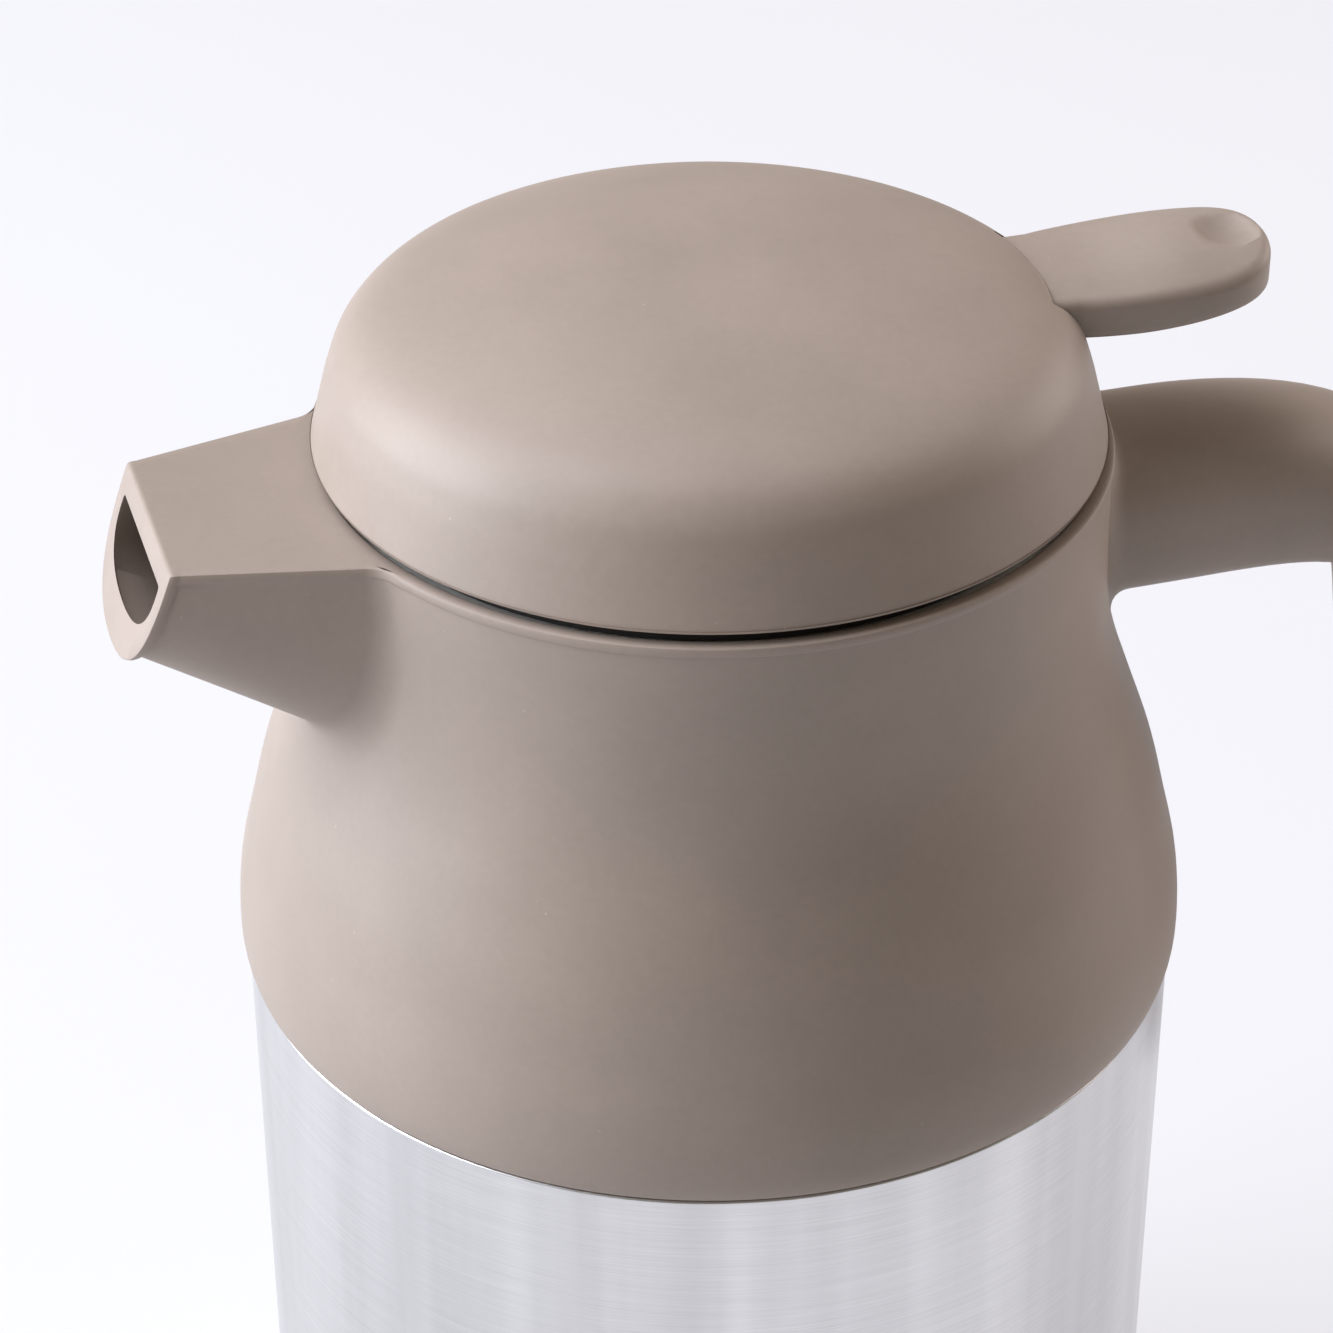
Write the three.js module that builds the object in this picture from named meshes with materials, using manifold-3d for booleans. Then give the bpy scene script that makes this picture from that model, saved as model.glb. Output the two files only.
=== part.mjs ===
// Vacuum-insulated pouring jug with a thumb lever, in millimetres, +Z up.
// The body axis is Z, the spout points to -X, and the handle and the thumb lever point to +X.
import * as THREE from "three";
import { mergeVertices } from "three/addons/utils/BufferGeometryUtils.js";
import Module from "manifold-3d";

const wasm = await Module();
wasm.setup();

// Driving dimensions
const GAP = 0.3; // space left between pieces that touch
const BODY_R = 59.1; // steel body, outside
const STEEL = 1; // wall of the two steel shells
const SEAM_Z = 125; // where the shoulder meets the steel
const NECK_R = 33; // inside of the steel neck
const NECK_TOP_Z = 174.2;
const COLLAR_R = 48.4; // rim of the shoulder under the lid
const COLLAR_BORE_R = 46.6;
const COLLAR_TOP_Z = 194.5; // top of the collar and of the spout
const FLOOR_Z = 167.6; // underside of the shoulder's inner floor
const PLASTIC = 2.4; // wall of the shoulder and the lid
const SPOUT_TIP_X = 67.9; // top edge of the spout's end, measured outwards
const SPOUT_RAKE = 0.37; // how far the lower lip stands out for each mm of depth
const HANDLE_Z = 177.6; // middle of the handle's upper arm
const COVER_FROM = 0.16; // the finger-side cover, in shares of the handle's length
const COVER_TO = 0.9;
const COVER_SCREWS = [0.34, 0.8];
const LID_Z = 195.7; // lower edge of the lid
const LID_R = 47.6;
const LID_TOP_Z = 216.5;
const DOME_SCREW_R = 35; // circle of the screws under the lid
const STOPPER_R = 31.6;
const STOPPER_BOTTOM_Z = 148;
const STOPPER_TOP_Z = 195.4;
const PIVOT_X = 30;
const PIVOT_Z = 204.5;
const PIN_R = 2;
const LEVER_TOP_Z = 210.6;
const LEVER_THICK = 5.6;
const LEVER_TIP_X = 70.3;
const LEVER_ROOT_HALF = 9.8; // half width where the lever leaves the lid
const LEVER_HALF = 11.1; // half width of its paddle
const STEM_R = 2;
const SPRING_BOTTOM_Z = 178.4;
const SPRING_TOP_Z = 191.6;

const ROUND = 32; // sides of the large turned pieces
const FINE = 12; // sides of the small ones

const taupe = plastic(0x9b8d83);
const innerPlastic = plastic(0x4b4744);
const steel = metal(0xc9c9cb, 0.32);
const springSteel = metal(0xb4b6b8, 0.25);
const silicone = new THREE.MeshStandardMaterial({ color: 0xd9d6d0, roughness: 0.6 });
const rubber = new THREE.MeshStandardMaterial({ color: 0x3b3a39, roughness: 0.85 });

function plastic(color) {
  return new THREE.MeshStandardMaterial({ color, roughness: 0.55, metalness: 0 });
}

function metal(color, roughness) {
  return new THREE.MeshStandardMaterial({ color, roughness, metalness: 1 });
}

// A closed three.js geometry as a solid that can be joined and cut.
function toSolid(geometry) {
  const bare = geometry.clone();
  bare.deleteAttribute("normal");
  bare.deleteAttribute("uv");
  const merged = mergeVertices(bare, 1e-3);
  const triangles = [];
  const corners = merged.index.array;
  for (let i = 0; i < corners.length; i += 3) {
    const [a, b, c] = corners.slice(i, i + 3);
    if (a !== b && b !== c && c !== a) triangles.push(a, b, c);
  }
  return new wasm.Manifold(
    new wasm.Mesh({
      numProp: 3,
      vertProperties: merged.attributes.position.array,
      triVerts: new Uint32Array(triangles),
    }),
  );
}

function toMesh(name, solid, material) {
  const made = solid.getMesh();
  const geometry = new THREE.BufferGeometry();
  geometry.setAttribute("position", new THREE.BufferAttribute(made.vertProperties, 3));
  geometry.setIndex(new THREE.BufferAttribute(made.triVerts, 1));
  geometry.computeVertexNormals();
  const mesh = new THREE.Mesh(geometry, material);
  mesh.name = name;
  return mesh;
}

function join(...solids) {
  return solids.reduce((whole, next) => whole.add(next));
}

function cut(solid, ...tools) {
  return tools.reduce((rest, tool) => rest.subtract(tool), solid);
}

// A profile of [radius, height] points turned about Z. It runs anticlockwise: out, up, in.
function revolve(profile, sides = ROUND) {
  const points = profile.map(([r, z]) => new THREE.Vector2(r, z));
  const first = points[0];
  const last = points[points.length - 1];
  if (first.x > 0 || last.x > 0) points.push(first.clone());
  return toSolid(new THREE.LatheGeometry(points, sides).rotateX(Math.PI / 2));
}

function ring(innerR, outerR, bottomZ, topZ, sides = ROUND) {
  return revolve(
    [[innerR, bottomZ], [outerR, bottomZ], [outerR, topZ], [innerR, topZ]],
    sides,
  );
}

function disc(r, bottomZ, topZ, sides = ROUND) {
  return revolve([[0, bottomZ], [r, bottomZ], [r, topZ], [0, topZ]], sides);
}

// A round bar along "y" or "z" with its middle at the given point.
function bar(r, length, axis, [x, y, z], sides = FINE) {
  const geometry = new THREE.CylinderGeometry(r, r, length, sides);
  if (axis === "z") geometry.rotateX(Math.PI / 2);
  return toSolid(geometry.translate(x, y, z));
}

function box([x0, y0, z0], [x1, y1, z1]) {
  const geometry = new THREE.BoxGeometry(x1 - x0, y1 - y0, z1 - z0);
  return toSolid(geometry.translate((x0 + x1) / 2, (y0 + y1) / 2, (z0 + z1) / 2));
}

// Smooth curve through [radius, height] points, as a list of such points.
function smooth(points, steps) {
  const curve = new THREE.SplineCurve(points.map(([r, z]) => new THREE.Vector2(r, z)));
  return curve.getPoints(steps).map((p) => [p.x, p.y]);
}

// A skin over rings of points that all have the same count, closed by a fan at each end.
function loft(rings) {
  const count = rings[0].length;
  const points = rings.flat();
  const middles = [rings[0], rings[rings.length - 1]].map((end) =>
    end.reduce((sum, p) => sum.add(p), new THREE.Vector3()).divideScalar(count),
  );
  const firstMiddle = points.length;
  const index = [];
  for (let j = 0; j < count; j++) {
    const k = (j + 1) % count;
    for (let i = 0; i + 1 < rings.length; i++) {
      const here = i * count;
      const next = here + count;
      index.push(here + j, here + k, next + k, here + j, next + k, next + j);
    }
    const end = (rings.length - 1) * count;
    index.push(firstMiddle, k, j, firstMiddle + 1, end + j, end + k);
  }
  const geometry = new THREE.BufferGeometry().setFromPoints([...points, ...middles]);
  return toSolid(geometry.setIndex(index));
}

// Steel body
function outerBodyShell() {
  const outside = [
    [57.3, 6.3], [58.4, 6.3], [BODY_R, 8.2], [BODY_R, SEAM_Z - 0.8], [57.6, SEAM_Z - 0.1],
    [57.2, SEAM_Z + 3],
    ...smooth(
      [[56.7, 133], [54.2, 142], [49.5, 151], [43, 157.4], [37.6, 160.4], [36.2, 163]],
      6,
    ),
    [36.2, NECK_TOP_Z],
  ];
  const inside = [
    [35.2, NECK_TOP_Z],
    ...smooth(
      [[35.2, 162.8], [36.8, 159.6], [42.3, 156.6], [48.6, 150.4], [53.2, 141.7], [55.7, 132.8]],
      6,
    ),
    [56.2, SEAM_Z + 2.8], [56.6, SEAM_Z - 0.4], [BODY_R - STEEL, SEAM_Z - 1.6], [BODY_R - STEEL, 8.4],
  ];
  return revolve([...outside, ...inside]);
}

function innerVessel() {
  const r = 54.5;
  const outside = [
    [0, 14], [45, 14], [51.5, 16.2], [r, 21], [r, 120],
    ...smooth(
      [[53.8, 129], [51.2, 138.5], [46.6, 147.2], [40.4, 153.4], [35.6, 157], [34, 160.5]],
      6,
    ),
    [34, 172.6], [34.9, 173.4], [34.9, NECK_TOP_Z],
  ];
  const inside = [
    [NECK_R, NECK_TOP_Z],
    ...smooth(
      [[NECK_R, 160.2], [34.9, 156.1], [39.7, 152.5], [45.8, 146.6], [50.3, 138.1], [52.8, 128.8]],
      6,
    ),
    [r - STEEL, 120], [r - STEEL, 21.6], [50.9, 17.1], [44.8, 15], [0, 15],
  ];
  return revolve([...outside, ...inside]);
}

function bodyBottomPlate() {
  const underside = [[0, 9.4], [40, 9.4], [44, 8.2], [57.7, 8.2]];
  const upperSide = [[57.7, 9.2], [44.3, 9.2], [40.3, 10.4], [0, 10.4]];
  return revolve([...underside, ...upperSide]);
}

function baseCover() {
  return revolve([
    [0, 2.5], [56.4, 2.5], [58.2, 4], [58.2, 6], [57, 6], [57, 7.8], [54.6, 7.8], [54.6, 5], [0, 5],
  ]);
}

// Shoulder with its spout, moulded in one
function shoulderShell() {
  const outside = [
    [59.4, SEAM_Z + 0.2],
    ...smooth(
      [
        [59.9, 127.6], [59.8, 132], [59.2, 136.6], [57.9, 142], [55.9, 150], [53.1, 158],
        [50.5, 165.5], [48.9, 172.5], [48.3, 181], [48.2, 190], [48.2, 193.2],
      ],
      10,
    ),
    [COLLAR_R, 193.4], [COLLAR_R, COLLAR_TOP_Z],
  ];
  const inside = [
    [COLLAR_BORE_R, COLLAR_TOP_Z], [COLLAR_BORE_R, FLOOR_Z + PLASTIC], [36.6, FLOOR_Z + PLASTIC],
    [36.6, FLOOR_Z], [46.6, FLOOR_Z], [48.2, 165.5], [50.8, 158], [53.7, 150], [56, 141],
    [57.2, 135], [57.9, 130], [58, SEAM_Z + 0.2],
  ];
  return revolve([...outside, ...inside]);
}

// One U-shaped section of the spout: flat top, upright sides, round keel, raked like the end.
function spoutSection({ x, halfWidth, top, depth }) {
  const outline = new THREE.Shape();
  outline.moveTo(halfWidth, 0);
  outline.bezierCurveTo(halfWidth, 0.57 * depth, 0.83 * halfWidth, depth, 0, depth);
  outline.bezierCurveTo(-0.83 * halfWidth, depth, -halfWidth, 0.57 * depth, -halfWidth, 0);
  return outline
    .getPoints(7)
    .slice(0, 15)
    .map((p) => new THREE.Vector3(-(x + SPOUT_RAKE * (top + p.y)), p.x, COLLAR_TOP_Z - top - p.y));
}

function spoutOutside() {
  const lip = 0.8;
  const stations = [
    { x: 40, halfWidth: 23.4, top: 0, depth: 31.5 },
    { x: 43, halfWidth: 20.6, top: 0, depth: 28.6 },
    { x: 46, halfWidth: 18.6, top: 0, depth: 25.6 },
    { x: SPOUT_TIP_X - 1.2, halfWidth: 13.9, top: 0, depth: 15.7 - lip },
    { x: SPOUT_TIP_X - 1, halfWidth: 13.85, top: 0, depth: 15.5 },
    { x: SPOUT_TIP_X, halfWidth: 13.6, top: 0, depth: 15.1 },
  ];
  return loft(stations.map(spoutSection));
}

function spoutChannel() {
  const stations = [
    { x: 38, halfWidth: 16, top: 2.4, depth: 21.6 },
    { x: 45, halfWidth: 15.4, top: 2.4, depth: 20 },
    { x: SPOUT_TIP_X + 1, halfWidth: 10.8, top: 2.9, depth: 7.4 },
  ];
  return loft(stations.map(spoutSection));
}

// Tongue on the back of the neck that the handle slides over.
function handleTongue(grow) {
  return box([47, -8 - grow, 171 - grow], [58 + grow, 8 + grow, 184 + grow]);
}

function shoulderHousing() {
  const spout = cut(spoutOutside(), disc(COLLAR_BORE_R + 0.4, 150, 200));
  const body = join(shoulderShell(), spout, handleTongue(0));
  return cut(body, spoutChannel(), bar(1.5, 12, "z", [54, 0, 172]));
}

// Handle: an arm that leaves the neck, turns down and ends free
function handlePath() {
  const path = new THREE.CurvePath();
  const at = (x, z) => new THREE.Vector3(x, 0, z);
  const start = at(60, HANDLE_Z);
  const bend = at(96.3, 153.5);
  path.add(new THREE.LineCurve3(at(46, HANDLE_Z), start));
  path.add(new THREE.CubicBezierCurve3(start, at(86.3, HANDLE_Z), at(94.4, 171.3), bend));
  path.add(new THREE.CubicBezierCurve3(bend, at(98, 137.6), at(107.4, 100), at(107.6, 70)));
  return path;
}

// Rounded section across the path at share u; "inner" and "outer" are its reach to either side.
function handleSection(path, u, halfWidth, inner, outer, count) {
  const middle = path.getPointAt(u);
  const along = path.getTangentAt(u);
  const away = new THREE.Vector3(-along.z, 0, along.x);
  const side = new THREE.Vector3(0, 1, 0);
  const power = 2 / 2.6;
  return Array.from({ length: count }, (_, i) => {
    const angle = (2 * Math.PI * i) / count;
    const c = Math.cos(angle);
    const s = Math.sin(angle);
    const across = halfWidth * Math.sign(c) * Math.abs(c) ** power;
    const reach = (s > 0 ? outer : inner) * Math.sign(s) * Math.abs(s) ** power;
    return middle.clone().addScaledVector(side, across).addScaledVector(away, reach);
  });
}

function handleSize(u) {
  const narrow = THREE.MathUtils.smoothstep(u, 0.15, 0.6);
  const thin = THREE.MathUtils.smoothstep(u, 0.08, 0.37);
  const taper = THREE.MathUtils.smoothstep(u, 0.6, 1);
  return { halfWidth: 13 - narrow - 1.6 * taper, half: 11 - 2.4 * thin - 0.6 * taper };
}

function handleOutside() {
  const path = handlePath();
  const steps = 26;
  const rings = [];
  for (let i = 0; i <= steps; i++) {
    const u = i / steps;
    const { halfWidth, half } = handleSize(u);
    const round = Math.sqrt(1 - THREE.MathUtils.clamp((u - 0.93) / 0.075, 0, 0.98) ** 2);
    rings.push(handleSection(path, u, halfWidth * round, half * round, half * round, 20));
  }
  return loft(rings);
}

// Slot-shaped bar along the handle between two shares of its path, from inside its inner face.
function handleCore(from, to, wall, depth) {
  const path = handlePath();
  const steps = 16;
  const rings = [];
  for (let i = 0; i <= steps; i++) {
    const u = THREE.MathUtils.lerp(from, to, i / steps);
    const { halfWidth, half } = handleSize(u);
    const middle = path.getPointAt(u);
    const along = path.getTangentAt(u);
    const away = new THREE.Vector3(-along.z, 0, along.x);
    const corner = (across, reach) =>
      middle.clone().add(new THREE.Vector3(0, across, 0)).addScaledVector(away, reach);
    const y = halfWidth - wall;
    const low = -half - 2;
    const high = depth - half;
    rings.push([corner(y, low), corner(y, high), corner(-y, high), corner(-y, low)]);
  }
  return loft(rings);
}

// A round bar square to the handle at share u, between two depths under its inner face.
function handleBoss(u, r, from, to) {
  const path = handlePath();
  const along = path.getTangentAt(u);
  const away = new THREE.Vector3(-along.z, 0, along.x);
  const { half } = handleSize(u);
  const middle = path.getPointAt(u).addScaledVector(away, (from + to) / 2 - half);
  const geometry = new THREE.CylinderGeometry(r, r, to - from, 12);
  const turn = new THREE.Quaternion().setFromUnitVectors(new THREE.Vector3(0, 1, 0), away);
  return toSolid(geometry.applyQuaternion(turn).translate(...middle.toArray()));
}

function handleShell() {
  const neck = revolve([[0, 150], [55.9, 150], [49.4, 172], [48.9, 181], [48.9, 200], [0, 200]]);
  const hollow = cut(
    handleCore(COVER_FROM, COVER_TO, 3.2, 14.6),
    ...COVER_SCREWS.map((u) => handleBoss(u, 3.6, 3.4, 20)),
  );
  const screwHoles = COVER_SCREWS.map((u) => handleBoss(u, 1.6, 0, 12));
  const fixing = [bar(1.8, 14, "z", [54, 0, 168]), bar(3.3, 6, "z", [54, 0, 166])];
  return cut(handleOutside(), neck, handleTongue(GAP), hollow, ...screwHoles, ...fixing);
}

function handleInnerCover() {
  const strip = handleCore(COVER_FROM + 0.002, COVER_TO - 0.002, 3.2 + GAP, 3);
  const heads = COVER_SCREWS.map((u) => handleBoss(u, 3.1, -3, 1.6));
  const shanks = COVER_SCREWS.map((u) => handleBoss(u, 1.6, -3, 4));
  return cut(strip.intersect(handleOutside()), ...heads, ...shanks);
}

function handleCoverScrew(u) {
  return join(handleBoss(u, 2.7, 0.3, 1.3), handleBoss(u, 1.25, 1, 11));
}

function handleFixingScrew() {
  return join(bar(2.9, 2, "z", [54, 0, 167.7]), bar(1.2, 9, "z", [54, 0, 172.5]));
}

// Lid
function domeProfile(inset) {
  const points = smooth(
    [
      [LID_R, LID_Z], [46.7, 199.2], [45.4, 204], [43.8, 207.8], [40.4, 210.9], [34, 213.1],
      [24, 215], [12, 216.2], [0, LID_TOP_Z],
    ],
    11,
  );
  return points.map(([r, z]) => {
    const share = r / LID_R;
    return [Math.max(r - inset * share, 0), z - inset * (1 - share ** 6)];
  });
}

function domeScrewSpot(i) {
  const angle = Math.PI / 3 + (i * 2 * Math.PI) / 3;
  return [DOME_SCREW_R * Math.cos(angle), DOME_SCREW_R * Math.sin(angle)];
}

function domeCover() {
  const inner = domeProfile(PLASTIC).reverse();
  const shell = revolve([...domeProfile(0), ...inner]);
  const filled = revolve([[0, LID_Z], ...domeProfile(0.5)]);
  const bosses = [0, 1, 2].map((i) => {
    const [x, y] = domeScrewSpot(i);
    const boss = bar(3.6, 14, "z", [x, y, 205.6], 12).intersect(filled);
    return cut(boss, bar(1.6, 10, "z", [x, y, 202], 12));
  });
  const slotHalf = LEVER_ROOT_HALF + 0.7;
  const slot = box([37, -slotHalf, 201.9], [52, slotHalf, LEVER_TOP_Z + 0.4]);
  return cut(join(shell, ...bosses), slot);
}

function domeScrew(i) {
  const [x, y] = domeScrewSpot(i);
  return join(bar(3, 1.6, "z", [x, y, 194.7], 12), bar(1.25, 11, "z", [x, y, 200.4], 12));
}

function pivotLug(side) {
  const y = side * 9;
  const upright = box([PIVOT_X - 4, y - 1.5, 197], [PIVOT_X + 4, y + 1.5, PIVOT_Z]);
  const eye = bar(4, 3, "y", [PIVOT_X, y, PIVOT_Z]);
  return join(upright, eye);
}

function lidBasePlate() {
  const plate = revolve([
    [2.5, 192], [5, 192], [5, 195.8], [38.8, 195.8], [38.8, 192], [40.7, 192], [40.7, 195.8],
    [44.6, 195.8], [44.6, 196.8], [43.8, 198], [6, 198], [5, 199], [2.5, 199],
  ]);
  const holes = [0, 1, 2].map((i) => {
    const [x, y] = domeScrewSpot(i);
    return bar(1.6, 8, "z", [x, y, 197], 12);
  });
  const body = join(plate, pivotLug(1), pivotLug(-1));
  return cut(body, ...holes, bar(PIN_R + 0.1, 30, "y", [PIVOT_X, 0, PIVOT_Z]));
}

function leverPin() {
  return bar(PIN_R, 21, "y", [PIVOT_X, 0, PIVOT_Z]);
}

// Paddle of the lever: it widens a little from the slot and ends in a round tip.
function leverPaddle() {
  const bevel = 1.2;
  const root = LEVER_ROOT_HALF - bevel;
  const half = LEVER_HALF - bevel;
  const tip = LEVER_TIP_X - bevel;
  const outline = new THREE.Shape();
  outline.moveTo(37.6 + bevel, -root);
  outline.lineTo(43, -root);
  outline.quadraticCurveTo(48, -half, 56, -half);
  outline.bezierCurveTo(66, -half, tip, -half * 0.72, tip, 0);
  outline.bezierCurveTo(tip, half * 0.72, 66, half, 56, half);
  outline.quadraticCurveTo(48, half, 43, root);
  outline.lineTo(37.6 + bevel, root);
  const geometry = new THREE.ExtrudeGeometry(outline, {
    depth: LEVER_THICK - 2 * bevel,
    bevelThickness: bevel,
    bevelSize: bevel,
    bevelSegments: 2,
    curveSegments: 6,
  });
  return toSolid(geometry.translate(0, 0, LEVER_TOP_Z - LEVER_THICK + bevel));
}

function thumbLever() {
  const dish = toSolid(
    new THREE.SphereGeometry(30, 40, 24).scale(1, 0.62, 1).translate(62.5, 0, LEVER_TOP_Z + 29.3),
  );
  const web = box([PIVOT_X, -7, 201.6], [40, 7, 207.2]);
  const hub = bar(4.2, 14, "y", [PIVOT_X, 0, PIVOT_Z]);
  const arm = box([6, -6, 199.6], [PIVOT_X, 6, 203.4]);
  const tines = [-1, 1].map((side) => {
    const y = side * 4.6;
    return box([-3, y - 1.4, 199.6], [7, y + 1.4, 203.4]);
  });
  const bore = bar(PIN_R + 0.25, 20, "y", [PIVOT_X, 0, PIVOT_Z]);
  return cut(join(leverPaddle(), web, hub, arm, ...tines), bore, dish);
}

// Stopper
function stopperBody() {
  const shell = revolve([
    [11, STOPPER_BOTTOM_Z], [25, STOPPER_BOTTOM_Z], [30, 150.4], [STOPPER_R, 154], [STOPPER_R, 159.2],
    [29.6, 159.2], [29.6, 165.8], [STOPPER_R, 165.8], [STOPPER_R, 186.4], [43.6, 187.6], [44.6, 188.6],
    [44.6, 190.2], [43, 190.2], [43, 193.2], [44.6, 193.2], [44.6, STOPPER_TOP_Z], [41, STOPPER_TOP_Z],
    [41, 190.6], [29.4, 189], [29.4, 168], [27.2, 166.4], [27.2, 154.6], [24.6, 151.4], [15, 150.6],
    [11, 149.6],
  ]);
  const windows = Array.from({ length: 6 }, (_, i) => {
    const geometry = new THREE.BoxGeometry(16, 17, 9.6).translate(30, 0, 180.6);
    return toSolid(geometry.rotateZ((i * Math.PI) / 3));
  });
  return cut(shell, ...windows);
}

function stopperNeckSeal() {
  return revolve([
    [29.9, 159.5], [31.4, 159.5], [32.7, 160.6], [31.7, 162.5], [32.5, 164.6], [31.4, 165.5],
    [29.9, 165.5],
  ]);
}

function stopperFlangeSeal() {
  return revolve([
    [43.3, 190.5], [44.9, 190.5], [46.2, 191.2], [46.2, 192.2], [44.9, 192.9], [43.3, 192.9],
  ]);
}

// Valve: the lever lifts the stem by its cap, and the spring shuts it
function valveStem() {
  return join(bar(STEM_R, 50, "z", [0, 0, 179.2]), bar(3.4, 1.4, "z", [0, 0, 154.9]));
}

function stemCap() {
  const cap = revolve([[0, 204.5], [6.8, 204.5], [6.8, 205.6], [5.4, 207], [0, 207]], FINE);
  return cut(cap, disc(1.4, 204, 205.5, FINE));
}

function springWasher() {
  return ring(STEM_R + 0.2, 7.4, 177, 178.1, FINE);
}

function valvePlug() {
  return revolve([[2.2, 151.6], [13, 151.6], [13, 153.2], [4, 153.9], [2.2, 153.9]]);
}

function valveSeal() {
  return revolve(
    [[2.4, 150.2], [10.6, 150.2], [12, 150.9], [14.2, 150.9], [14.2, 151.3], [2.4, 151.3]],
  );
}

function valveSpring() {
  const turns = 5;
  const meanR = 5.4;
  const wireR = 0.5;
  class Coil extends THREE.Curve {
    getPoint(t) {
      const angle = 2 * Math.PI * turns * t;
      const z = THREE.MathUtils.lerp(SPRING_BOTTOM_Z + wireR, SPRING_TOP_Z - wireR, t);
      return new THREE.Vector3(meanR * Math.cos(angle), meanR * Math.sin(angle), z);
    }
  }
  const wire = new THREE.Shape().absarc(0, 0, wireR, 0, 2 * Math.PI);
  return toSolid(
    new THREE.ExtrudeGeometry(wire, { extrudePath: new Coil(), steps: turns * 12, curveSegments: 3 }),
  );
}

const jug = new THREE.Group();

const pieces = [
  ["outer_body_shell", outerBodyShell(), steel],
  ["inner_vessel", innerVessel(), steel],
  ["body_bottom_plate", bodyBottomPlate(), steel],
  ["getter_pellet", bar(4, 1.6, "z", [20, 0, 11.6]), springSteel],
  ["base_cover", baseCover(), taupe],
  ["base_pad", disc(50, 0, 2.2), rubber],
  ["shoulder_housing", shoulderHousing(), taupe],
  ["neck_gasket", ring(36.6, 41, 163.6, FLOOR_Z - GAP), silicone],
  ["neck_nut", ring(36.6, 41.4, FLOOR_Z + PLASTIC + GAP, 174), innerPlastic],
  ["handle_shell", handleShell(), taupe],
  ["handle_inner_cover", handleInnerCover(), taupe],
  ["handle_cover_screw_upper", handleCoverScrew(COVER_SCREWS[0]), springSteel],
  ["handle_cover_screw_lower", handleCoverScrew(COVER_SCREWS[1]), springSteel],
  ["handle_fixing_screw", handleFixingScrew(), springSteel],
  ["stopper_body", stopperBody(), innerPlastic],
  ["stopper_neck_seal", stopperNeckSeal(), silicone],
  ["stopper_flange_seal", stopperFlangeSeal(), silicone],
  ["lid_base_plate", lidBasePlate(), innerPlastic],
  ["dome_cover", domeCover(), taupe],
  ["lever_pin", leverPin(), springSteel],
  ["thumb_lever", thumbLever(), taupe],
  ["valve_stem", valveStem(), springSteel],
  ["stem_cap", stemCap(), innerPlastic],
  ["spring_washer", springWasher(), springSteel],
  ["valve_plug", valvePlug(), innerPlastic],
  ["valve_seal", valveSeal(), silicone],
  ["valve_spring", valveSpring(), springSteel],
];
for (const [name, solid, material] of pieces) jug.add(toMesh(name, solid, material));
for (let i = 0; i < 3; i++) jug.add(toMesh(`dome_screw_${i + 1}`, domeScrew(i), springSteel));

export default jug;
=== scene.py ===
from math import atan2, cos, hypot, pi, radians, sin, sqrt

import bpy
from mathutils import Matrix, Vector
from mathutils.geometry import interpolate_bezier


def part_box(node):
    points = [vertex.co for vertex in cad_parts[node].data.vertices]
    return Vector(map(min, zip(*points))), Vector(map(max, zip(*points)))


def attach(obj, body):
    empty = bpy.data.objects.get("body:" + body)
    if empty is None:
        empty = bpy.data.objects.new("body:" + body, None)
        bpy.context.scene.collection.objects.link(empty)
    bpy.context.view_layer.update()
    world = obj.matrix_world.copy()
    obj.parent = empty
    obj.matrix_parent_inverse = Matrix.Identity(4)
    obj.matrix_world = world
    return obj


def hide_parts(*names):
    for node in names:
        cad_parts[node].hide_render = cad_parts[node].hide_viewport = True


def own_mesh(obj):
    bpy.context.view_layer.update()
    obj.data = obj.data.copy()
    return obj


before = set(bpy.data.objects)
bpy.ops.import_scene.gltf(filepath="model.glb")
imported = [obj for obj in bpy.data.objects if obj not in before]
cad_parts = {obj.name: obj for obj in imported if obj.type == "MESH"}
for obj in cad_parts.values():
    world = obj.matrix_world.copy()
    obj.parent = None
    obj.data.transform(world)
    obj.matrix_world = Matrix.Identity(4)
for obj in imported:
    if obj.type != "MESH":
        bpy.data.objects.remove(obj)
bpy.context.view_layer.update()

# Camera
# A long lens looks down past the spout's side onto the lid.
# It stands low enough to show the whole shoulder and the top of the steel.
camera_turn = (
    Matrix.Rotation(radians(-16.498), 3, "Z")
    @ Matrix.Rotation(radians(57.241), 3, "X")
    @ Matrix.Rotation(radians(-0.291), 3, "Z")
)
bpy.ops.object.camera_add(location=(-0.12212, -0.39391, 0.42656), rotation=camera_turn.to_euler())
camera = bpy.context.object
camera.data.lens = 106.56
camera.data.sensor_width = 36
camera.data.clip_end = 20
bpy.context.scene.camera = camera


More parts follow.
